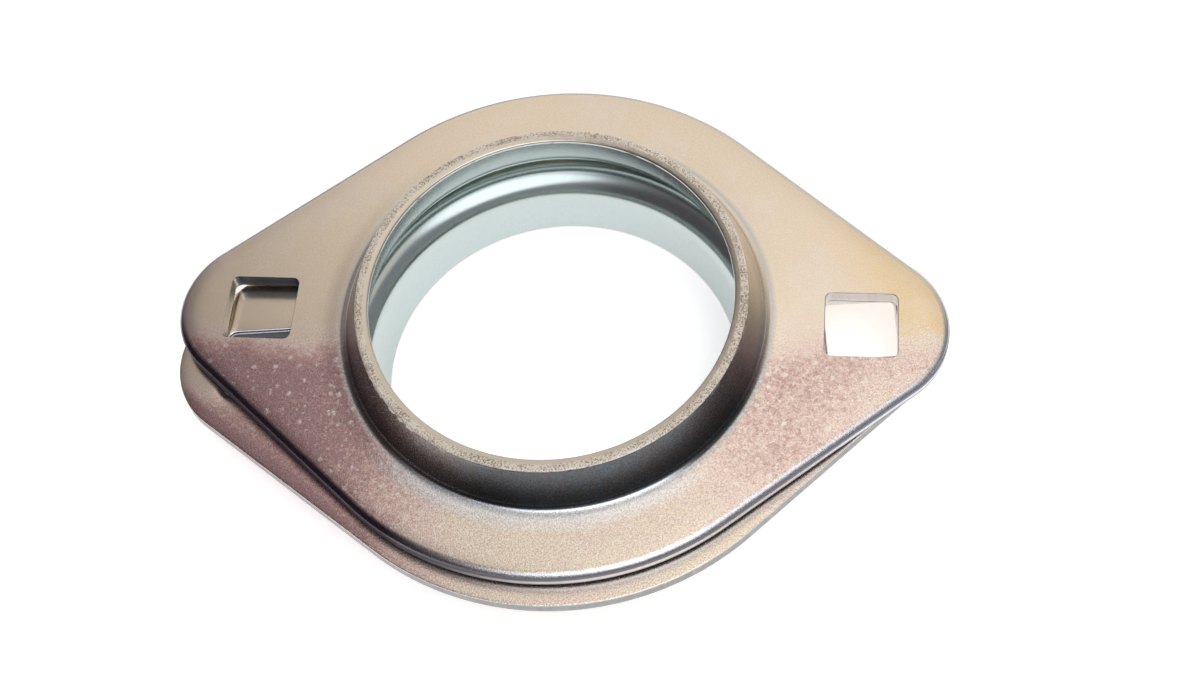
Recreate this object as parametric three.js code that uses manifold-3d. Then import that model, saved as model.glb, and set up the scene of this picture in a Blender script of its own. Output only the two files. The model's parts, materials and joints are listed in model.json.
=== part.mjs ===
// Pair of pressed-steel two-bolt flangettes: the two halves of the housing that clamps
// a ball bearing insert with a spherical outer ring. Millimetres, +Z up.
//
// The rear half lies collar down and the front half lies on it collar up, mating face
// to mating face. The front half has swung a few degrees about the right-hand bolt.
// The origin is under the middle of the pair, on the surface that it stands on.

import * as THREE from 'three';
import { mergeVertices } from 'three/addons/utils/BufferGeometryUtils.js';
import Module from 'manifold-3d';

// Driving dimensions
const SHEET = 2.0;            // thickness of the steel sheet
const SEAT_RADIUS = 20.0;     // spherical seat, for a 40 mm insert
const COLLAR_HEIGHT = 6.9;    // mating face to rim
const BEND_RADIUS = 1.0;      // inside radius of the bend between plate and collar
const BOLT_SPACING = 63.5;
const HOLE_SIDE = 7.4;        // square hole for the neck of a carriage bolt
const HOLE_CORNER = 0.7;
const WAIST_RADIUS = 29.35;   // large arcs of the outline, about the bore
const END_RADIUS = 8.95;      // small arcs of the outline, about the bolt holes
const EDGE_ROLL = 0.7;        // rolled-over outer edge, on the collar side
const RIM_INNER_BREAK = 0.25; // worn inner edge of the sheared rim
const RIM_OUTER_RADIUS = 20.3; // drawing the collar has thinned the sheet to 1.4 there
const RIM_OUTER_ROUND = 0.15;

// How the two loose halves lie on each other
const MATING_GAP = 0.3;
const SWIVEL = THREE.MathUtils.degToRad(-5.95);
const SLIP_X = -0.06;
const SLIP_Y = 2.02;

// Fineness: steps on each arc of the outline, which also set the points round the bore
const WAIST_STEPS = 22;
const END_STEPS = 12;
const ROUND_STEPS = 3;
const SEAT_STEPS = 4;

const manifold = await Module();
manifold.setup();

// Points of an arc, both ends included
function arc(cx, cy, radius, from, to, steps) {
  return Array.from({ length: steps + 1 }, (_, i) => {
    const angle = from + (to - from) * (i / steps);
    return new THREE.Vector2(cx + radius * Math.cos(angle), cy + radius * Math.sin(angle));
  });
}

// Outline of the flange, drawn in by an inset: two large arcs about the bore and two
// small ones about the bolt holes, joined by their common tangents
function outlineRing(inset, z) {
  const boltX = BOLT_SPACING / 2;
  const tangent = Math.acos((WAIST_RADIUS - END_RADIUS) / boltX);
  const waist = WAIST_RADIUS - inset;
  const end = END_RADIUS - inset;
  const points = [
    ...arc(boltX, 0, end, -tangent, tangent, END_STEPS),
    ...arc(0, 0, waist, tangent, Math.PI - tangent, WAIST_STEPS),
    ...arc(-boltX, 0, end, Math.PI - tangent, Math.PI + tangent, END_STEPS),
    ...arc(0, 0, waist, Math.PI + tangent, 2 * Math.PI - tangent, WAIST_STEPS),
  ];
  return points.map((p) => new THREE.Vector3(p.x, p.y, z));
}

const RING_POINTS = 2 * (WAIST_STEPS + 1) + 2 * (END_STEPS + 1);

function circleRing(radius, z) {
  return Array.from({ length: RING_POINTS }, (_, i) => {
    const angle = 2 * Math.PI * (i - END_STEPS / 2) / RING_POINTS;
    return new THREE.Vector3(radius * Math.cos(angle), radius * Math.sin(angle), z);
  });
}

// Section of the collar as radius and height, from the mating face round the spherical
// seat and the rim and back down the outside, a cone that runs into the bend. Both sides
// of the bend share one centre, and the lean is the cone's angle from upright.
function collarSection() {
  const outerRadius = SEAT_RADIUS + SHEET;
  const bendZ = SHEET + BEND_RADIUS;
  const bendR = Math.sqrt((outerRadius + BEND_RADIUS) ** 2 - bendZ ** 2);
  const bendAngle = Math.atan2(bendZ, bendR);
  const seatTop = Math.asin((COLLAR_HEIGHT - RIM_INNER_BREAK) / SEAT_RADIUS);
  const rimInner = SEAT_RADIUS * Math.cos(seatTop) + RIM_INNER_BREAK;
  const rimOuter = RIM_OUTER_RADIUS - RIM_OUTER_ROUND;
  const rimEdgeZ = COLLAR_HEIGHT - RIM_OUTER_ROUND;
  const across = bendR - RIM_OUTER_RADIUS;
  const down = bendZ - rimEdgeZ;
  const lean = Math.acos(BEND_RADIUS / Math.hypot(across, down)) + Math.atan2(down, across);
  return [
    ...arc(bendR, bendZ, bendZ, 1.5 * Math.PI, Math.PI + bendAngle, 2 * ROUND_STEPS),
    ...arc(0, 0, SEAT_RADIUS, bendAngle, seatTop, SEAT_STEPS).slice(1),
    new THREE.Vector2(rimInner, COLLAR_HEIGHT),
    ...arc(rimOuter, rimEdgeZ, RIM_OUTER_ROUND, Math.PI / 2, 0, ROUND_STEPS),
    ...arc(bendR, bendZ, BEND_RADIUS, Math.PI + lean, 1.5 * Math.PI, ROUND_STEPS),
  ];
}

// Rings right round the section: the collar, then out over the plate, down the rolled
// edge and back along the mating face to the first ring
function flangetteRings() {
  const collar = collarSection().map((p) => circleRing(p.x, p.y));
  const roll = arc(0, SHEET - EDGE_ROLL, EDGE_ROLL, Math.PI / 2, 0, ROUND_STEPS)
    .map((p) => outlineRing(EDGE_ROLL - p.x, p.y));
  return [...collar, ...roll, outlineRing(0, 0)];
}

// Closed surface over rings of equal length
function loft(rings) {
  const size = rings[0].length;
  const index = [];
  rings.forEach((_, r) => {
    const here = r * size;
    const next = ((r + 1) % rings.length) * size;
    for (let i = 0; i < size; i += 1) {
      const j = (i + 1) % size;
      index.push(here + i, next + j, here + j, here + i, next + i, next + j);
    }
  });
  return new THREE.BufferGeometry().setFromPoints(rings.flat()).setIndex(index);
}

function boltHole(x) {
  const inner = HOLE_SIDE / 2 - HOLE_CORNER;
  const corners = [[inner, inner], [-inner, inner], [-inner, -inner], [inner, -inner]];
  const square = new THREE.Shape(corners.flatMap(([cx, cy], i) =>
    arc(cx, cy, HOLE_CORNER, i * Math.PI / 2, (i + 1) * Math.PI / 2, ROUND_STEPS)));
  const prism = new THREE.ExtrudeGeometry(square, { depth: 3 * SHEET, bevelEnabled: false });
  return prism.translate(x, 0, -SHEET);
}

function toSolid(geometry) {
  const bare = geometry.clone();
  bare.deleteAttribute('normal');
  bare.deleteAttribute('uv');
  const merged = mergeVertices(bare, 1e-5);
  return new manifold.Manifold(new manifold.Mesh({
    numProp: 3,
    vertProperties: new Float32Array(merged.attributes.position.array),
    triVerts: new Uint32Array(merged.index.array),
  }));
}

function toGeometry(solid) {
  const mesh = solid.getMesh();
  const geometry = new THREE.BufferGeometry();
  geometry.setAttribute('position', new THREE.BufferAttribute(mesh.vertProperties, 3));
  geometry.setIndex(new THREE.BufferAttribute(mesh.triVerts, 1));
  geometry.computeVertexNormals();
  return geometry;
}

function flangette(name, colour) {
  const solid = toSolid(loft(flangetteRings()))
    .subtract(toSolid(boltHole(BOLT_SPACING / 2)))
    .subtract(toSolid(boltHole(-BOLT_SPACING / 2)));
  const zinc = new THREE.MeshStandardMaterial({ color: colour, roughness: 0.35, metalness: 1 });
  const mesh = new THREE.Mesh(toGeometry(solid), zinc);
  mesh.name = name;
  return mesh;
}

const rear = flangette('rear_flangette', 0xb9a79c);
rear.rotation.x = Math.PI;
rear.position.z = -MATING_GAP / 2;

const front = flangette('front_flangette', 0xcdb9a8);
front.rotation.z = SWIVEL;
front.position.set(SLIP_X, SLIP_Y, MATING_GAP / 2);

const pair = new THREE.Group();
pair.add(rear, front);

const box = new THREE.Box3().setFromObject(pair, true);
const middle = box.getCenter(new THREE.Vector3());
pair.position.set(-middle.x, -middle.y, -box.min.z);

export default pair;
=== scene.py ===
"""Looks for the pair of zinc-plated pressed-steel flangettes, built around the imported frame.

Both halves are the same pressing. One function makes its mesh, in the pressing's own frame: in
millimetres, with the mating face on z = 0 and the collar up. Each half is placed by the frame.
"""

import json
import math

import bmesh
import bpy
import numpy as np
from mathutils import Matrix, Vector
from mathutils.geometry import delaunay_2d_cdt
from mathutils.noise import noise


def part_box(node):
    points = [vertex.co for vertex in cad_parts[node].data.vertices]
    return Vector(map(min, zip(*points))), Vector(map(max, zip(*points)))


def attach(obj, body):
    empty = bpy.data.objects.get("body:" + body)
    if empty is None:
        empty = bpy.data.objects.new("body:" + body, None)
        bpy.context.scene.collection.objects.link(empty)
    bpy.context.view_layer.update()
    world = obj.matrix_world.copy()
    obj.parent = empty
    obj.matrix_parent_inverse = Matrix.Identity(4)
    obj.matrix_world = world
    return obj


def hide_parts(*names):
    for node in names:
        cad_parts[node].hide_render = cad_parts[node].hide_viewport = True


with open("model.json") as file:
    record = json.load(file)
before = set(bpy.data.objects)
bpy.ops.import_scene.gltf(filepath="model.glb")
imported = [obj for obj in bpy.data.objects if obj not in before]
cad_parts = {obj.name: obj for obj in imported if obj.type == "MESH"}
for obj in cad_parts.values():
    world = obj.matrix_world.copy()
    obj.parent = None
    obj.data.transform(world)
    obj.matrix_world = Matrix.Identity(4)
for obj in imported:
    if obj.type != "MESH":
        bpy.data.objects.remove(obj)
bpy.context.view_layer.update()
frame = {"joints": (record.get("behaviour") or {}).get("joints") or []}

MM = 0.001
QUARTER = math.pi / 2

# The pressing, in millimetres
SHEET = 2.0
SEAT_RADIUS = 20.0
COLLAR_HEIGHT = 6.9
BEND_RADIUS = 1.0
BOLT_X = 31.75
HOLE_SIDE = 7.4
HOLE_CORNER = 0.7
WAIST_RADIUS = 29.34      # 0.01 inside the CAD's, as END_RADIUS is
END_RADIUS = 8.94
RIM_OUTER_RADIUS = 20.3   # drawing the collar has thinned the sheet there

# Its rim
RIM_BREAK = 0.25          # rounded inner edge
RIM_CHAMFER = 0.35        # smooth inner band, which slopes inwards
RIM_CHAMFER_DROP = 0.09
RIM_STEP = 0.1            # strip between that band and the torn one
RIM_STEP_DROP = 0.01
RIM_ROUND = 0.15
RIM_RAG = 0.03            # how ragged the torn outer edge is
RIM_WAVE = 0.012          # unevenness of the rim's height

# Its plate, outline and mating face
DRAW_IN = 0.058           # how far the plate lifts to the collar and sinks to its outline
FOOT_REACH = 1.2          # how far out that lift dies away
FOOT_RINGS = (0.2, 0.45, 0.75, 1.1, 1.55, 2.1)    # rings of the plate round the collar's foot
EDGE_REACH = 0.5          # and how far in from the die roll the sinking does
EDGE_RINGS = (1.9, 1.3, 0.8, 0.4, 0.15)           # rings of the plate inside the die roll
ROLL_WIDTH = 0.95         # die roll of the blanked outline, on the collar side
ROLL_DEPTH = 0.6
ROLL_CUT = 3              # last steps of the die roll, which look like the wall below
TORN_DEPTH = 0.02         # recess of the wall's torn lower part
TORN_STEP = 0.01
MATING_ROUND = 0.12       # tumbled outer edge of the mating face
MATING_INSET = MATING_ROUND + 0.05        # clear of the torn part
MATING_LIFT = 0.03        # how far the mating face lifts at that edge
MATING_REACH = 0.35       # how far in that lift dies away
MATING_RINGS = (0.15, 0.4, 0.8, 1.3)
WALL_RINGS = ((1.0, 0.0), (0.86, 0.6), (0.55, 0.9),       # height, share of the recess
              (MATING_ROUND + MATING_LIFT, 1.0))

# Its bolt holes
HOLE_BREAK = 0.07         # edge on the collar side
HOLE_RINGS = ((HOLE_BREAK, SHEET), (0.0, SHEET - HOLE_BREAK),     # offset, height
              (0.02, 1.25), (0.0, 1.15))
HOLE_ROLL = 0.35          # rolled edge on the mating side
HOLE_DISH = 0.09          # how far the sheet around them is dished
DISH_REACH = 0.4          # how far out from the roll the dish dies away
DISH_RINGS = (0.12, 0.3, 0.55, 0.9, 1.3)

# Fineness: steps and parts on the arcs and lines of the outline, the holes and the section
AROUND = 400
END_STEPS = 44
WAIST_STEPS = 70
TANGENT_PARTS = 39
CORNER_STEPS = 8
SIDE_PARTS = 11
BEND_STEPS = 18
SEAT_STEPS = 12
BREAK_STEPS = 4
RIM_STEPS = 8
COLLAR_PARTS = 11
FILLET_STEPS = 14
DIE_ROLL_STEPS = 10
MATING_STEPS = 5
HOLE_ROLL_STEPS = 8
GRID = 1.1                # points on the flat of the plate, in rows that make even triangles
ROW = GRID * 0.87
SLIVER = 2e-4             # least cross product of a triangle's sides
WELD = 1e-7               # points closer than this are one
SHARP = math.radians(32)

# Looks that follow the rings: shares that fade from ring to ring
FADE_WALL_SHADE = (0.85, 0.6, 0.35, 0.12)                   # last rings of the collar's fillet, where the painted wall shade fades
FADE_BARE = (0.3, 0.6, 0.9, 0.9, 0.5)                  # the same and the plate's first ring
FADE_FOOT_HIGHLIGHT = (0.5, *[1.0] * 6, 0.95, 0.85, 0.7, 0.5, 0.25, 0.0)    # last rings of the collar, where the painted highlight at its foot fades
FADE_POOL = (0.6, 0.9, 0.9, 0.6, 0.2)                  # last rings of the outline
JOINT_SHADE_BEND = 4             # first rings of the bore's bend, which get the painted joint shade

# Material slots of one half
ZINC, SHEARED, RIM, PIERCED = range(4)


# ---------------------------------------------------------------- outline and section

def arc(cx, cy, radius, start, end, steps):
    angles = np.linspace(start, end, steps + 1)
    return np.column_stack([cx + radius * np.cos(angles), cy + radius * np.sin(angles)])


def between(start, end, parts):
    """Points that divide a line into equal parts, without its ends."""
    shares = np.linspace(0, 1, parts + 1)[1:-1, None]
    return start * (1 - shares) + end * shares


def outline():
    """Points of the outline and its outward normals."""
    tangent = math.acos((WAIST_RADIUS - END_RADIUS) / BOLT_X)
    corners = [
        (BOLT_X, END_RADIUS, -tangent, tangent, END_STEPS),
        (0.0, WAIST_RADIUS, tangent, math.pi - tangent, WAIST_STEPS),
        (-BOLT_X, END_RADIUS, math.pi - tangent, math.pi + tangent, END_STEPS),
        (0.0, WAIST_RADIUS, math.pi + tangent, 2 * math.pi - tangent, WAIST_STEPS),
    ]
    points, normals = [], []
    for i, (cx, radius, start, end, steps) in enumerate(corners):
        points.append(arc(cx, 0, radius, start, end, steps))
        normals.append(arc(0, 0, 1, start, end, steps))
        next_cx, next_radius = corners[(i + 1) % 4][:2]
        normal = normals[-1][-1]
        finish = np.array([next_cx, 0]) + next_radius * normal
        points.append(between(points[-1][-1], finish, TANGENT_PARTS))
        normals.append(np.tile(normal, (len(points[-1]), 1)))
    return np.vstack(points), np.vstack(normals)


def hole_ring(x, offset):
    """Rounded square of a bolt hole, grown by an offset."""
    inner = HOLE_SIDE / 2 - HOLE_CORNER
    signs = [(1, 1), (-1, 1), (-1, -1), (1, -1)]
    corners = [arc(x + sx * inner, sy * inner, HOLE_CORNER + offset,
                   i * QUARTER, (i + 1) * QUARTER, CORNER_STEPS)
               for i, (sx, sy) in enumerate(signs)]
    ring = []
    for i, corner in enumerate(corners):
        ring.append(corner)
        ring.append(between(corner[-1], corners[(i + 1) % 4][0], SIDE_PARTS))
    return np.vstack(ring)


def collar_section():
    """Radius and height from the mating face round the seat and the rim to the plate's top.

    Returns the points, for each the zone of the band that starts at it, and the radius at
    which the bend runs into the plate."""
    bend_z = SHEET + BEND_RADIUS
    bend_r = math.sqrt((SEAT_RADIUS + bend_z) ** 2 - bend_z ** 2)
    bend = math.atan2(bend_z, bend_r)
    seat_edge = COLLAR_HEIGHT - RIM_CHAMFER_DROP
    seat_top = math.asin((seat_edge - RIM_BREAK) / SEAT_RADIUS)
    break_r = SEAT_RADIUS * math.cos(seat_top) + RIM_BREAK
    rim_edge = COLLAR_HEIGHT - RIM_ROUND
    points, zones = [], []

    def add(new, zone):
        points.extend(np.atleast_2d(new))
        zones.extend([zone] * len(np.atleast_2d(new)))

    add(arc(bend_r, bend_z, bend_z, 3 * QUARTER, math.pi + bend, BEND_STEPS), "seat")
    add(arc(0, 0, SEAT_RADIUS, bend, seat_top, SEAT_STEPS)[1:], "seat")
    add(arc(break_r, seat_edge - RIM_BREAK, RIM_BREAK, math.pi, QUARTER, BREAK_STEPS)[1:], "rim")
    add([break_r + RIM_CHAMFER, COLLAR_HEIGHT - RIM_STEP_DROP], "rim")
    add([break_r + RIM_CHAMFER + RIM_STEP, COLLAR_HEIGHT], "rim")
    add(arc(RIM_OUTER_RADIUS - RIM_ROUND, rim_edge, RIM_ROUND, QUARTER, 0, RIM_STEPS), "rim")
    zones[-1] = "outside"

    across, down = bend_r - RIM_OUTER_RADIUS, bend_z - rim_edge
    lean = math.acos(BEND_RADIUS / math.hypot(across, down)) + math.atan2(down, across)
    fillet = arc(bend_r, bend_z, BEND_RADIUS, math.pi + lean, 3 * QUARTER, FILLET_STEPS)
    rise = np.linspace(0, 1, FILLET_STEPS + 1)
    fillet[:, 1] += DRAW_IN * rise * rise * (3 - 2 * rise)
    add(between(points[-1], fillet[0], COLLAR_PARTS), "outside")
    add(fillet, "outside")
    for out in FOOT_RINGS:
        add([bend_r + out, SHEET + DRAW_IN * math.exp(-(out / FOOT_REACH) ** 2)], "outside")
    return np.array(points), zones, bend_r


# ---------------------------------------------------------------- mesh of one half

def falls_outside(border, corners):
    """Whether a triangle is a sliver or lies outside a closed border."""
    a, b, c = (np.array(v) for v in corners)
    if abs(np.cross(b - a, c - a)) < SLIVER:
        return True
    x, y = (a + b + c) / 3
    ahead = np.roll(border, -1, axis=0)
    crosses = (border[:, 1] > y) != (ahead[:, 1] > y)
    with np.errstate(divide="ignore", invalid="ignore"):
        at = border[:, 0] + (y - border[:, 1]) * (ahead[:, 0] - border[:, 0]) \
            / (ahead[:, 1] - border[:, 1])
    return np.count_nonzero(crosses & (x < at)) % 2 == 0


class Skin:
    """Vertices in rings and the faces between them."""

    def __init__(self):
        self.points, self.faces, self.slots = [], [], []

    def ring(self, flat, z):
        start = len(self.points)
        heights = np.broadcast_to(z, len(flat))
        self.points.extend((x, y, height) for (x, y), height in zip(flat, heights))
        return list(range(start, len(self.points)))

    def band(self, first, second, slot):
        """Quads between two rings of equal length; first to second runs with the surface
        on the left of the ring's direction."""
        n = len(first)
        for i in range(n):
            j = (i + 1) % n
            self.faces.append((first[i], second[i], second[j], first[j]))
            self.slots.append(slot)

    def sheet(self, outer, inner_rings, grid, z, flip):
        """Flat triangulated field inside the outer ring, with the inner rings left open."""
        rings = [outer] + inner_rings
        ids = [i for ring in rings for i in ring]
        flat = [Vector(self.points[i][:2]) for i in ids] + [Vector(p) for p in grid]
        edges, owner, at = [], {}, 0
        for r, ring in enumerate(rings):
            edges += [(at + k, at + (k + 1) % len(ring)) for k in range(len(ring))]
            owner.update({at + k: r for k in range(len(ring))})
            at += len(ring)
        verts, _, faces, sources, *_ = delaunay_2d_cdt(flat, edges, [], 0, WELD)
        index = {}
        for v, source in enumerate(sources):
            if source[0] < len(ids):
                index[v] = ids[source[0]]
            else:
                index[v] = len(self.points)
                self.points.append((verts[v].x, verts[v].y, z))
        border = np.array([self.points[i][:2] for i in outer])
        for face in faces:
            rings_of = {owner.get(sources[v][0], -1) for v in face}
            if len(rings_of) == 1:
                ring_of = rings_of.pop()
                in_hole = ring_of > 0
                if in_hole or (ring_of == 0 and falls_outside(border, [verts[v] for v in face])):
                    continue
            corners = tuple(index[v] for v in face)
            self.faces.append(corners[::-1] if flip else corners)
            self.slots.append(ZINC)


def field(edge, normals, inner_radius, inset, hole_gap):
    """Grid points of the plate clear of its bore, its outline and its bolt holes."""
    found = []
    xs = np.arange(-BOLT_X - END_RADIUS, BOLT_X + END_RADIUS, GRID)
    ys = np.arange(-WAIST_RADIUS, WAIST_RADIUS, ROW)
    for row, y in enumerate(ys):
        for x in xs + (GRID / 2 if row % 2 else 0):
            inside = np.min(np.einsum("ij,ij->i", edge - np.array([x, y]), normals))
            clear = np.maximum(abs(abs(x) - BOLT_X), abs(y)) - HOLE_SIDE / 2
            if inside > inset and math.hypot(x, y) > inner_radius and clear > hole_gap:
                found.append((x, y))
    return found


def ripple(x, y, z, scale, seed):
    """Smooth unevenness about 0, of its own for each seed."""
    return noise(Vector((x * scale + seed, y * scale, z * scale)))


def add_collar(skin, seed):
    """Rings from the mating face up the seat, over the rim and down onto the plate, with
    their zones and the radius at which the plate begins."""
    section, zones, bend_r = collar_section()
    angles = np.arange(AROUND) * 2 * math.pi / AROUND
    circle = np.column_stack([np.cos(angles), np.sin(angles)])
    rings = []
    for (radius, z), zone in zip(section, zones):
        drop, rag = np.zeros(AROUND), np.zeros(AROUND)
        if zone == "rim":
            wave = np.array([1 + ripple(x * SEAT_RADIUS, y * SEAT_RADIUS, z, scale=1.3,
                                        seed=seed)
                             for x, y in circle])
            drop = RIM_WAVE * wave
            if radius > SEAT_RADIUS:
                rag = RIM_RAG * wave
        rings.append(skin.ring(circle * (radius - rag)[:, None], z - drop))
    for here, ahead, zone in zip(rings, rings[1:], zones):
        skin.band(ahead, here, RIM if zone == "rim" else ZINC)
    return rings, zones, bend_r


def add_outline(skin, edge, normals, seed):
    """Rings from the plate over the die roll, down the wall and in over the mating face, with
    the place in the list at which the wall ends."""
    rings = []
    for inset in EDGE_RINGS:
        rings.append(skin.ring(edge - normals * (ROLL_WIDTH + inset),
                               SHEET - DRAW_IN * math.exp(-inset / EDGE_REACH)))
    for turn in np.linspace(0, QUARTER, DIE_ROLL_STEPS + 1):
        rings.append(skin.ring(edge - normals * ROLL_WIDTH * (1 - math.sin(turn)),
                               SHEET - DRAW_IN - ROLL_DEPTH * (1 - math.cos(turn))))
    roll_end = len(rings) - 1
    torn = np.array([TORN_DEPTH * (1 + ripple(x, y, 0, scale=0.9, seed=seed + 5))
                     for x, y in edge])
    for z, share in WALL_RINGS:
        recess = share * torn + (TORN_STEP if share else 0)
        rings.append(skin.ring(edge - normals * recess[:, None], z))
    wall_end = len(rings) - 1
    for turn in np.linspace(0, QUARTER, MATING_STEPS + 1)[1:]:
        inset = MATING_ROUND * (1 - math.cos(turn))
        rings.append(skin.ring(edge - normals * (torn + TORN_STEP + inset)[:, None],
                               MATING_ROUND * (1 - math.sin(turn)) + MATING_LIFT))
    for inset in MATING_RINGS:
        rings.append(skin.ring(edge - normals * (MATING_INSET + inset),
                               MATING_LIFT * math.exp(-inset / MATING_REACH)))
    for i, (here, ahead) in enumerate(zip(rings, rings[1:])):
        skin.band(here, ahead, SHEARED if roll_end - ROLL_CUT <= i < wall_end else ZINC)
    return rings, wall_end


def add_bolt_hole(skin, x):
    """Rings down a bolt hole, sharp on the collar side and rolled on the mating side, and
    out over the dish round it."""
    rings = [skin.ring(hole_ring(x, offset), z) for offset, z in HOLE_RINGS]
    for turn in np.linspace(0, QUARTER, HOLE_ROLL_STEPS + 1):
        rings.append(skin.ring(hole_ring(x, HOLE_ROLL * (1 - math.cos(turn))),
                               HOLE_ROLL * (1 - math.sin(turn)) + HOLE_DISH))
    for out in DISH_RINGS:
        rings.append(skin.ring(hole_ring(x, HOLE_ROLL + out),
                               HOLE_DISH * math.exp(-out / DISH_REACH)))
    for i, (here, ahead) in enumerate(zip(rings, rings[1:])):
        skin.band(ahead, here, PIERCED if i < len(HOLE_RINGS) else ZINC)
    return rings


def to_mesh(skin, name):
    mesh = bpy.data.meshes.new(name)
    mesh.from_pydata([Vector(p) * MM for p in skin.points], [], skin.faces)
    mesh.polygons.foreach_set("material_index", skin.slots)
    mesh.polygons.foreach_set("use_smooth", [True] * len(mesh.polygons))
    bm = bmesh.new()
    bm.from_mesh(mesh)
    bmesh.ops.recalc_face_normals(bm, faces=bm.faces)
    for edge in bm.edges:
        if len(edge.link_faces) == 2 and edge.calc_face_angle() > SHARP:
            edge.smooth = False
    bm.to_mesh(mesh)
    bm.free()
    return mesh


def fade(value, start, end):
    """0 up to start, 1 from end on, and a straight slope between; end may be the lower."""
    return np.clip((value - start) / (end - start), 0, 1)


def mark(mesh, attribute, ring_values):
    """Attribute that holds each listed ring's value, and 0 on the other vertices."""
    values = np.zeros(len(mesh.vertices), np.float32)
    for ring, value in ring_values:
        values[ring] = value
    mesh.attributes.new(attribute, "FLOAT", "POINT").data.foreach_set("value", values)


def flangette(name, spot, seed, film_way, film_shift, film_gain, oily):
    """One half, moved to its spot by a matrix. Its film is thicker where film_way * y +
    film_shift is lower, more so with a higher film_gain. A half with a shaded joint has
    near-black
    painted shade where the halves meet: on the edges of its mating face, on the first rings of
    the bore's bend and on two sides of each bolt hole."""
    skin = Skin()
    edge, normals = outline()
    collar, zones, bend_r = add_collar(skin, seed)
    rim_end, fillet_end = zones.index("outside"), len(collar) - len(FOOT_RINGS)
    border, wall_end = add_outline(skin, edge, normals, seed)
    roll_start = len(EDGE_RINGS)
    holes = [add_bolt_hole(skin, x) for x in (BOLT_X, -BOLT_X)]

    top_grid = field(edge, normals, inner_radius=bend_r + 2.7, inset=ROLL_WIDTH + 2.4,
                     hole_gap=0.5)
    skin.sheet(border[0], [collar[-1]] + [hole[0] for hole in holes], top_grid, SHEET, False)
    low_grid = field(edge, normals, inner_radius=bend_r + 0.6, inset=2.2,
                     hole_gap=HOLE_ROLL + 1.8)
    skin.sheet(border[-1], [collar[0]] + [hole[-1] for hole in holes], low_grid, 0.0, True)
    mesh = to_mesh(skin, name)

    # Where the colour differs: the film inside the bore, painted shade on the collar's wall and a
    # painted highlight at its foot
    mark(mesh, "seat_side",
         [(ring, 1.0) for ring, zone in zip(collar, zones) if zone == "seat"])
    shaded_wall = collar[rim_end:fillet_end]
    full = len(shaded_wall) - len(FADE_WALL_SHADE)
    mark(mesh, "wall_shade_share", zip(shaded_wall, [1.0] * full + list(FADE_WALL_SHADE)))
    mark(mesh, "foot_highlight_share", zip(collar[-len(FADE_FOOT_HIGHLIGHT):], FADE_FOOT_HIGHLIGHT))

    # The film is worn or thin on the outline, round the collar's foot and in the holes
    bared = [(ring, fade(i, roll_start + 1, roll_start + 5))
             for i, ring in enumerate(border[:wall_end + 1])]
    bared += zip(collar[fillet_end - len(FADE_BARE) + 1:], FADE_BARE)
    hole_roll = len(HOLE_RINGS)
    hole_roll_end = hole_roll + HOLE_ROLL_STEPS
    bared += [(ring, 1.0) for hole in holes for ring in hole[1:hole_roll_end]]
    mark(mesh, "bare_edge", bared)

    # Painted shade, near-black, where the halves meet; in the holes only on the sides that run
    # along x
    side = [i for i, (x, y) in enumerate(hole_ring(0, 0)) if abs(y) > abs(x)]
    joint_shade_rings = border[wall_end:] + collar[:JOINT_SHADE_BEND]
    joint_shade_rings += [[ring[i] for i in side] for hole in holes
              for ring in hole[hole_roll:hole_roll_end + 2]]
    mark(mesh, "oil", [(ring, 1.0) for ring in joint_shade_rings] if oily else [])

    # Painted shade, near-black, on the die roll and the wall of the outline at the lower left.
    # The film is thicker where it pooled on the edge of the mating face at the upper left, which
    # is the rear half's lower left, as that is turned over.
    edge_shaded = fade(edge[:, 0], -2, -15) * fade(edge[:, 1], 3, -5)
    mark(mesh, "edge_shade_share", [(ring, edge_shaded * fade(i, roll_start, roll_start + 3))
                         for i, ring in enumerate(border[:wall_end + 2])])
    pooled = fade(edge[:, 0], -9, -22) * fade(edge[:, 1], 0, 6)
    mark(mesh, "pool", [(ring, pooled * share)
                        for ring, share in zip(border[-len(FADE_POOL):], FADE_POOL)])
    everywhere = slice(None)
    mark(mesh, "film_gain", [(everywhere, film_gain)])
    mark(mesh, "film_y", [(everywhere, [v.co.y / MM * film_way + film_shift
                                        for v in mesh.vertices])])
    own = mesh.attributes.new("pressing_mm", "FLOAT_VECTOR", "POINT")
    own.data.foreach_set("vector", np.array([v.co for v in mesh.vertices]).ravel() / MM)
    mesh.transform(spot)

    piece = bpy.data.objects.new(name, mesh)
    bpy.context.scene.collection.objects.link(piece)
    even = piece.modifiers.new("even_normals", "WEIGHTED_NORMAL")
    even.keep_sharp = True
    return piece


# ---------------------------------------------------------------- materials

# Film colours from thin to thick, what lies on or shows through the film, and painted shade and
# highlight
FILM = [(0.0, (0.89, 0.70, 0.45)), (0.2, (0.90, 0.79, 0.67)), (0.5, (0.88, 0.71, 0.65)),
        (0.78, (0.64, 0.435, 0.41)), (1.0, (0.48, 0.315, 0.33))]
SPECK = (0.95, 0.87, 0.82)
SEAT_GREEN = (0.53, 0.59, 0.575)
# Painted shade on the collar's wall, in streaks, and browner at the left
WALL_SHADE_STREAKS = [(0.25, (0.105, 0.09, 0.09)), (0.5, (0.10, 0.105, 0.11)), (0.75, (0.10, 0.12, 0.15))]
WALL_SHADE_LEFT = (0.40, 0.34, 0.31)
# Painted highlight at the collar's foot, on the side towards -y
FOOT_HIGHLIGHT_COLOUR = (0.93, 0.96, 1.0)
BARE_ZINC = (0.60, 0.61, 0.63)
# Painted shade along the outline's edge at the lower left
EDGE_SHADE_COLOUR = (0.07, 0.042, 0.062)
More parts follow.
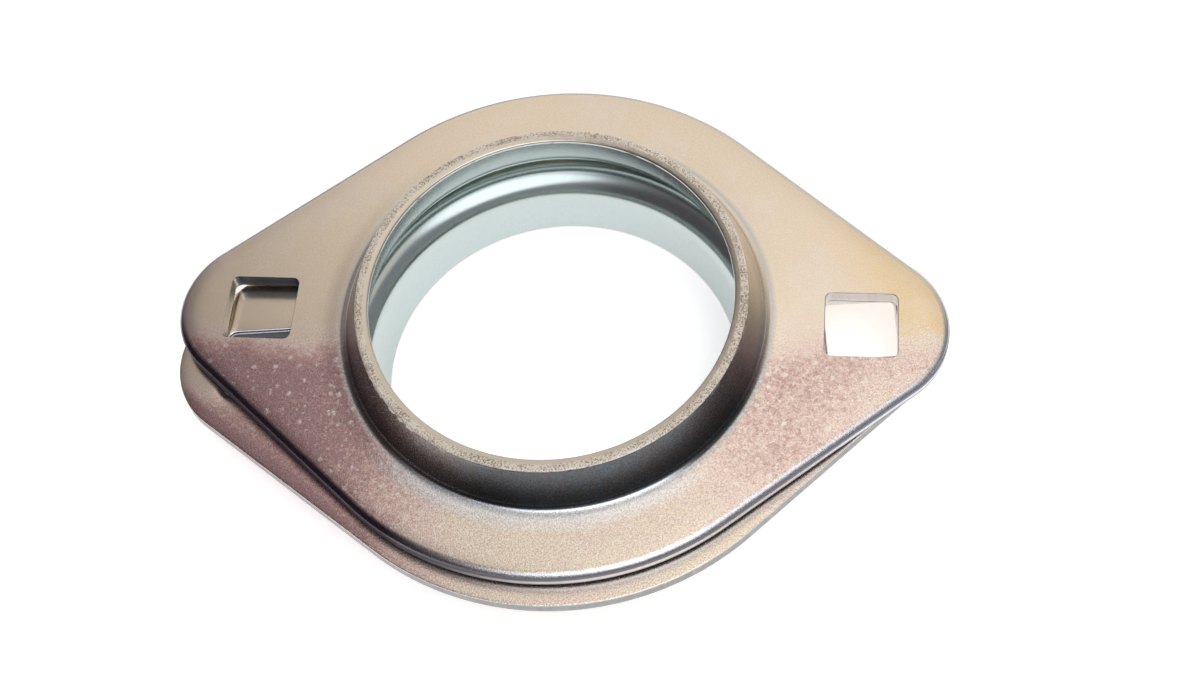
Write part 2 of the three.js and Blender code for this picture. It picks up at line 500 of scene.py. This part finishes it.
# Painted shade where the halves meet
JOINT_SHADE_COLOUR = (0.04, 0.04, 0.05)
PALE_CUT = (0.78, 0.83, 0.88)
SMOOTH_RIM = (0.66, 0.59, 0.51)
TORN_RIM = [(0.40, (0.32, 0.26, 0.22)), (0.49, (0.88, 0.76, 0.63)), (0.57, (1.0, 0.95, 0.86))]


def rgba(colour):
    """A constant colour with its alpha; a socket as it is."""
    return (*colour, 1) if isinstance(colour, tuple) else colour


class Nodes:
    """Short calls for adding and joining shader nodes."""

    def __init__(self, tree):
        self.tree = tree

    def put(self, socket, value):
        if isinstance(value, bpy.types.NodeSocket):
            self.tree.links.new(value, socket)
        elif isinstance(value, bpy.types.Node):
            self.tree.links.new(value.outputs[0], socket)
        else:
            socket.default_value = value

    def add(self, kind, inputs, **settings):
        node = self.tree.nodes.new(kind)
        for key, value in settings.items():
            setattr(node, key, value)
        for key, value in inputs.items():
            self.put(node.inputs[key], value)
        return node

    def math(self, operation, a, b=0.0, clamp=False):
        return self.add("ShaderNodeMath", {0: a, 1: b}, operation=operation,
                        use_clamp=clamp).outputs[0]

    def plus(self, a, b, clamp=False):
        return self.math("ADD", a, b, clamp)

    def minus(self, a, b):
        return self.math("SUBTRACT", a, b)

    def times(self, a, b, clamp=False):
        return self.math("MULTIPLY", a, b, clamp)

    def centred(self, value, gain):
        """A noise about 0, times a gain."""
        return self.times(self.minus(value, 0.5), gain)

    def span(self, value, low, high, to_low=0.0, to_high=1.0, smooth=True):
        """The value's place between low and high, as a number from to_low to to_high."""
        kind = "SMOOTHSTEP" if smooth else "LINEAR"
        return self.add("ShaderNodeMapRange",
                        {"Value": value, "From Min": low, "From Max": high,
                         "To Min": to_low, "To Max": to_high},
                        interpolation_type=kind).outputs[0]

    def attribute(self, name, output="Fac"):
        return self.add("ShaderNodeAttribute", {}, attribute_name=name).outputs[output]

    def parts(self, vector):
        return self.add("ShaderNodeSeparateXYZ", {0: vector}).outputs

    def stretched(self, vector, z_scale):
        return self.add("ShaderNodeVectorMath", {0: vector, 1: (1, 1, z_scale)},
                        operation="MULTIPLY").outputs[0]

    def scaled(self, vector, factor):
        return self.add("ShaderNodeVectorMath", {0: vector, 3: factor},
                        operation="SCALE").outputs[0]

    def noise(self, vector, scale, detail=2.0, roughness=0.5):
        return self.add("ShaderNodeTexNoise", {"Vector": vector, "Scale": scale, "Detail": detail,
                                               "Roughness": roughness}).outputs[0]

    def mix(self, share, a, b):
        node = self.add("ShaderNodeMix", {}, data_type="RGBA")
        self.put(node.inputs[0], share)
        self.put(node.inputs[6], rgba(a))
        self.put(node.inputs[7], rgba(b))
        return node.outputs[2]

    def ramp(self, value, stops):
        node = self.add("ShaderNodeValToRGB", {0: value})
        elements = node.color_ramp.elements
        while len(elements) < len(stops):
            elements.new(0.5)
        for element, (position, colour) in zip(elements, stops):
            element.position = position
            element.color = rgba(colour)
        return node.outputs[0]

    def bump(self, strength, distance_mm, height):
        return self.add("ShaderNodeBump", {"Strength": strength, "Distance": distance_mm * MM,
                                           "Height": height})


def new_material(name):
    """A metal, its nodes and shader, and the place on the pressing in millimetres."""
    material = bpy.data.materials.new(name)
    material.use_nodes = True
    n = Nodes(material.node_tree)
    shader = material.node_tree.nodes["Principled BSDF"]
    shader.inputs["Metallic"].default_value = 1.0
    return material, n, shader.inputs, n.attribute("pressing_mm", "Vector")


def film_thickness(n, mm, cloud, low_side, gain):
    """0 to 1, thickest at the lower left, and thinnest at the right-hand end."""
    x = n.parts(mm)[0]
    left_side = n.span(n.plus(x, n.times(cloud, 14.0)), 8.0, -22.0)
    film = n.plus(n.times(low_side, 0.36), n.times(n.times(low_side, left_side), gain))
    film = n.plus(film, n.centred(n.noise(mm, 0.055, 2.0), 0.7))
    film = n.plus(film, n.centred(cloud, 0.35))
    film = n.minus(film, n.times(n.span(n.attribute("film_y"), -13.0, -24.0), 0.22))
    mottle = n.centred(n.noise(mm, 2.3, 3.0, 0.6), low_side)
    film = n.plus(film, n.times(mottle, 0.9))
    film = n.plus(film, n.times(n.attribute("pool"), 0.6))
    film = n.math("MAXIMUM", n.plus(film, 0.14, clamp=True), 0.16)
    gold_tip = n.times(n.span(x, 24.0, 38.0), n.span(low_side, 0.9, 0.0))
    gold_tip = n.times(gold_tip, n.span(cloud, 0.3, 0.65, 0.5, 1.0))
    return n.times(film, n.minus(1.0, gold_tip))


def pale_specks(n, mm, cloud, low_side, gain):
    """Small and large specks in cells of uneven shape, where the film is thick."""
    wander = n.add("ShaderNodeTexNoise", {"Vector": mm, "Scale": 2.4, "Detail": 2.0})
    uneven = n.add("ShaderNodeVectorMath",
                   {0: wander.outputs["Color"], 1: (0.45, 0.45, 0.45), 2: mm},
                   operation="MULTIPLY_ADD").outputs[0]
    large = n.add("ShaderNodeTexVoronoi", {"Vector": uneven, "Scale": 0.78})
    small = n.add("ShaderNodeTexVoronoi", {"Vector": uneven, "Scale": 1.5})
    chance = n.parts(small.outputs["Color"])[0]
    specks = n.times(n.span(small.outputs["Distance"], 0.36, 0.08), n.span(chance, 0.45, 0.9))
    specks = n.plus(specks, n.span(large.outputs["Distance"], 0.3, 0.1))
    where = n.times(n.span(cloud, 0.32, 0.5), low_side)
    return n.times(n.times(specks, where, clamp=True), n.span(gain, 0.2, 0.5))


def painted_wall_shade(n, mm):
    """Painted shade on the collar's wall, in dark streaks, browner at the left and darker at the
    foot.
    """
    x, _, up = n.parts(mm)
    streaks = n.noise(n.stretched(mm, 0.15), 0.8, 3.0, 0.6)
    dark = n.mix(n.span(x, -3.0, -14.0), n.ramp(streaks, WALL_SHADE_STREAKS), WALL_SHADE_LEFT)
    return n.scaled(dark, n.span(up, 2.8, 6.4, 0.5, 1.25))


def plated_zinc():
    """Passivated zinc: a straw, peach and mauve film over fine crystalline grain."""
    material, n, sockets, mm = new_material("passivated_zinc")
    x, y, _ = n.parts(mm)
    cloud = n.noise(mm, 0.33, 4.0, 0.6)
    grain = n.noise(mm, 5.6, 3.0, 0.7)
    fine = n.noise(mm, 12.0, 2.0, 0.6)

    # The film is thicker on the side where film_y is low, with a wavy edge
    gain = n.attribute("film_gain")
    line = n.plus(n.times(cloud, 5.0), n.span(x, 18.0, 33.0, 0.0, -3.0))
    low_side = n.span(n.plus(n.attribute("film_y"), line), 2.0, -5.5)
    colour = n.ramp(film_thickness(n, mm, cloud, low_side, gain), FILM)
    specks = pale_specks(n, mm, cloud, low_side, gain)
    colour = n.mix(n.times(specks, 0.8), colour, SPECK)

    # The seat's colour; on the side towards -y, painted shade on the collar's wall and a painted
    # highlight at its foot
    colour = n.mix(n.attribute("seat_side"), colour, SEAT_GREEN)
    shaded_wall = n.times(n.attribute("wall_shade_share"), n.span(y, 3.0, -11.0))
    colour = n.mix(shaded_wall, colour, painted_wall_shade(n, mm))
    foot_highlight = n.times(n.attribute("foot_highlight_share"), n.span(y, -15.5, -20.5, 0.0, 0.93))
    colour = n.mix(foot_highlight, colour, FOOT_HIGHLIGHT_COLOUR)

    # Worn film on the edges, and painted shade on the lower-left edge and where the halves meet
    oil = n.attribute("oil")
    colour = n.mix(n.times(n.attribute("bare_edge"), 0.9), colour, BARE_ZINC)
    colour = n.mix(n.times(n.attribute("edge_shade_share"), 0.95), colour, EDGE_SHADE_COLOUR)
    colour = n.mix(oil, colour, JOINT_SHADE_COLOUR)

    # The grain is stronger where the film is thick: in the colour, the gloss and the relief
    coarse_side = n.plus(n.times(low_side, 0.85), 0.15)
    swing = n.times(n.span(grain, 0.3, 0.7, -0.34, 0.34, smooth=False), coarse_side)
    n.put(sockets["Base Color"], n.scaled(colour, n.plus(swing, 0.97)))
    dull = n.span(n.times(grain, coarse_side), 0.1, 0.8, 0.17, 0.27, smooth=False)
    dull = n.plus(dull, n.times(cloud, 0.05))
    # The painted joint shade is also rough and not metal
    n.put(sockets["Roughness"], n.span(oil, 0.0, 1.0, dull, 0.8, smooth=False))
    n.put(sockets["Metallic"], n.minus(1.0, oil))
    relief = n.plus(n.times(grain, 0.75), n.times(fine, 0.35))
    n.put(sockets["Normal"], n.bump(n.times(coarse_side, 0.8), 0.018, relief))
    return material


def cut_wall(name, shades, torn):
    """Cut edge of the sheet, in fine vertical streaks. torn(n, mm, colour) returns the colour
    with what differs along the edge, and the share of its darkest shade, which stands for the
    torn part of a wall and for painted shade."""
    material, n, sockets, mm = new_material(name)
    streak = n.noise(n.stretched(mm, 0.12), 5.0, 3.0, 0.6)
    blotch = n.noise(mm, 0.8, 3.0)
    colour = n.ramp(n.plus(n.times(streak, 0.6), n.times(blotch, 0.4)),
                    list(zip((0.3, 0.55, 0.75), shades[1:])))
    colour, dark = torn(n, mm, colour)
    n.put(sockets["Base Color"], n.mix(dark, colour, shades[0]))
    n.put(sockets["Roughness"], n.span(streak, 0.2, 0.8, 0.3, 0.48, smooth=False))
    n.put(sockets["Normal"], n.bump(0.5, 0.02, streak))
    return material


def outline_torn_and_shaded(n, mm, colour):
    """Paler towards -y, with a dark line along the top and the bottom of the wall there. The
    bottom one is its torn part, darker as painted shade where the halves meet; the top one, under
    the die roll, is painted shade. The painted edge shade at the lower left darkens the wall too.
    """
    _, y, z = n.parts(mm)
    colour = n.mix(n.span(y, 4.0, -4.0, 0.0, 0.7), colour, PALE_CUT)
    dark = n.math("MAXIMUM", n.span(z, 0.45, 0.2), n.span(z, 0.9, 1.0))
    dark = n.times(dark, n.span(y, 4.0, -4.0, 0.0, 0.85))
    return colour, n.math("MAXIMUM", dark, n.attribute("edge_shade_share"))


def left_hole_shade(n, mm, colour):
    """Painted shade: in the left-hand hole, the two walls that run along x are dark."""
    x, y, _ = n.parts(mm)
    return colour, n.times(n.span(n.math("ABSOLUTE", y), 3.4, 3.62), n.span(x, 4, -4))


def torn_rim():
    """End of the collar: pale and coarsely grained, smoother on its inner band."""
    material, n, sockets, mm = new_material("collar_rim")
    x, y, _ = n.parts(mm)
    radius = n.math("SQRT", n.plus(n.times(x, x), n.times(y, y)))
    rough_band = n.span(radius, 19.42, 19.56)
    coarse = n.noise(mm, 6.0, 4.0, 0.7)
    blotch = n.noise(mm, 0.5, 2.0)
    colour = n.ramp(n.plus(n.times(coarse, 0.8), n.times(blotch, 0.2)), TORN_RIM)
    n.put(sockets["Base Color"], n.mix(rough_band, SMOOTH_RIM, colour))
    n.put(sockets["Roughness"], n.span(rough_band, 0, 1, 0.24, 0.3, smooth=False))
    n.put(sockets["Normal"], n.bump(n.span(rough_band, 0, 1, 0.12, 1.0), 0.09, coarse))
    return material


# ---------------------------------------------------------------- the two halves

# In the order of the slots. A cut wall has its darkest shade first, which stands for the torn
# part of the outline's wall and for painted shade, then dark to pale.
materials = [
    plated_zinc(),
    cut_wall("sheared_edge", ((0.07, 0.06, 0.085), (0.22, 0.23, 0.23), (0.31, 0.32, 0.315),
                              (0.41, 0.42, 0.41)), outline_torn_and_shaded),
    torn_rim(),
    # Its darkest shade is painted shade, only in the left-hand hole
    cut_wall("pierced_edge", ((0.07, 0.085, 0.12), (0.62, 0.59, 0.56), (0.72, 0.69, 0.66),
                              (0.80, 0.77, 0.74)), left_hole_shade),
]
swing = next(j for j in frame["joints"] if j["name"] == "front_swing")
swivel = math.radians(swing["range_deg"][0])


def place(node, body, slot_name, turn, mating_top, **looks):
    """Build the half that replaces a node, with its mating face on the box's top or bottom."""
    low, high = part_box(node)
    z = high.z if mating_top else low.z
    spot = Matrix.Translation(((low.x + high.x) / 2, (low.y + high.y) / 2, z)) @ turn
    piece = flangette("zinc_" + node, spot, **looks)
    for material in materials:
        piece.data.materials.append(material)
    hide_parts(node)
    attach(piece, body)


place("rear_flangette", "rear_half", "zinc_plate_rear",
      Matrix.Rotation(math.pi, 4, "X"), mating_top=True,
      seed=3.0, film_way=-1, film_shift=-0.5, film_gain=0.2, oily=False)
place("front_flangette", "front_half", "zinc_plate_front",
      Matrix.Rotation(swivel, 4, "Z"), mating_top=False,
      seed=11.0, film_way=1, film_shift=0.0, film_gain=0.66, oily=True)


# ---------------------------------------------------------------- floor, light and camera

scene = bpy.context.scene
scene.view_settings.view_transform = "Standard"

FLOOR_HALF = 3.0
floor_mesh = bpy.data.meshes.new("floor")
floor_mesh.from_pydata([(x * FLOOR_HALF, y * FLOOR_HALF, 0)
                        for x, y in ((-1, -1), (1, -1), (1, 1), (-1, 1))], [], [(0, 1, 2, 3)])
floor = bpy.data.objects.new("floor", floor_mesh)
scene.collection.objects.link(floor)
paper = bpy.data.materials.new("pale_floor")
paper.use_nodes = True
paper_sockets = paper.node_tree.nodes["Principled BSDF"].inputs
paper_sockets["Base Color"].default_value = (0.93, 0.935, 0.94, 1)
paper_sockets["Emission Color"].default_value = (1, 1, 1, 1)
paper_sockets["Emission Strength"].default_value = 0.4
paper_sockets["Roughness"].default_value = 0.9
paper_sockets["Specular IOR Level"].default_value = 0.1
floor_mesh.materials.append(paper)

# The studio that the metal mirrors: soft pale and dark patches in an even grey
world = bpy.data.worlds.new("studio")
scene.world = world
world.use_nodes = True
sky = Nodes(world.node_tree)
direction = sky.add("ShaderNodeTexCoord", {}).outputs["Generated"]


def lobe(towards, inner_deg, outer_deg):
    """1 within inner_deg of a direction, falling softly to 0 at outer_deg."""
    aim = Vector(towards).normalized()
    dot = sky.add("ShaderNodeVectorMath", {0: direction, 1: aim}, operation="DOT_PRODUCT")
    return sky.span(dot.outputs["Value"], math.cos(math.radians(outer_deg)),
                    math.cos(math.radians(inner_deg)))


def low_ring():
    """A band round the studio, from low to middle height, open on the side towards +y."""
    _, north, height = sky.parts(direction)
    ring = sky.times(sky.span(height, 0.10, 0.22), sky.span(height, 0.77, 0.66))
    return sky.times(ring, sky.span(north, 0.80, 0.30))


light = (0.36, 0.36, 0.38)
for colour, share in (((0.82, 0.785, 0.735), lobe((0.35, 0.75, 0.95), 36, 52)),
                      ((0.17, 0.15, 0.155), lobe((-0.85, 0.25, 0.75), 26, 43)),
                      ((0.30, 0.305, 0.32), low_ring()),
                      ((0.11, 0.10, 0.11), lobe((-1.0, -0.35, 0.25), 34, 55)),
                      ((1.08, 1.04, 0.98), lobe((0.06, 0.32, 0.95), 5, 17)),
                      ((1.85, 1.9, 2.0), lobe((0.18, -0.46, 0.87), 20, 31))):
    light = sky.mix(share, light, colour)
sky.put(world.node_tree.nodes["Background"].inputs["Color"], light)

# A broad overhead light for the floor, which the metal doesn't mirror
lamp_data = bpy.data.lights.new("overhead", "AREA")
lamp_data.shape = "DISK"
lamp_data.size = 1.6
lamp_data.energy = 9.0
lamp = bpy.data.objects.new("overhead", lamp_data)
lamp.location = (0, 0, 1.5)
lamp.visible_glossy = False
scene.collection.objects.link(lamp)

# Camera at the photograph's angle, aimed at the bore of the front half
AZIMUTH, ELEVATION, ROLL = (math.radians(a) for a in (9.56, 59.56, -11.75))
DISTANCE = 0.1951
front_low, front_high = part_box("front_flangette")
rear_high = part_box("rear_flangette")[1]
target = Vector(((front_low.x + front_high.x) / 2, (front_low.y + front_high.y) / 2,
                 (front_low.z + rear_high.z) / 2))
back = Vector((math.sin(AZIMUTH) * math.cos(ELEVATION), -math.cos(AZIMUTH) * math.cos(ELEVATION),
               math.sin(ELEVATION)))
right = Vector((math.cos(AZIMUTH), math.sin(AZIMUTH), 0))
up = back.cross(right)
turned_right = right * math.cos(ROLL) + up * math.sin(ROLL)
turned_up = up * math.cos(ROLL) - right * math.sin(ROLL)
camera_data = bpy.data.cameras.new("camera")
camera_data.lens = 55.37
camera_data.sensor_width = 36.0
camera_data.shift_x = 0.0363
camera_data.shift_y = -0.0093
camera_data.clip_start = 0.01
camera = bpy.data.objects.new("camera", camera_data)
axes = Matrix((turned_right, turned_up, back)).transposed().to_4x4()
camera.matrix_world = Matrix.Translation(target + back * DISTANCE) @ axes
scene.collection.objects.link(camera)
scene.camera = camera
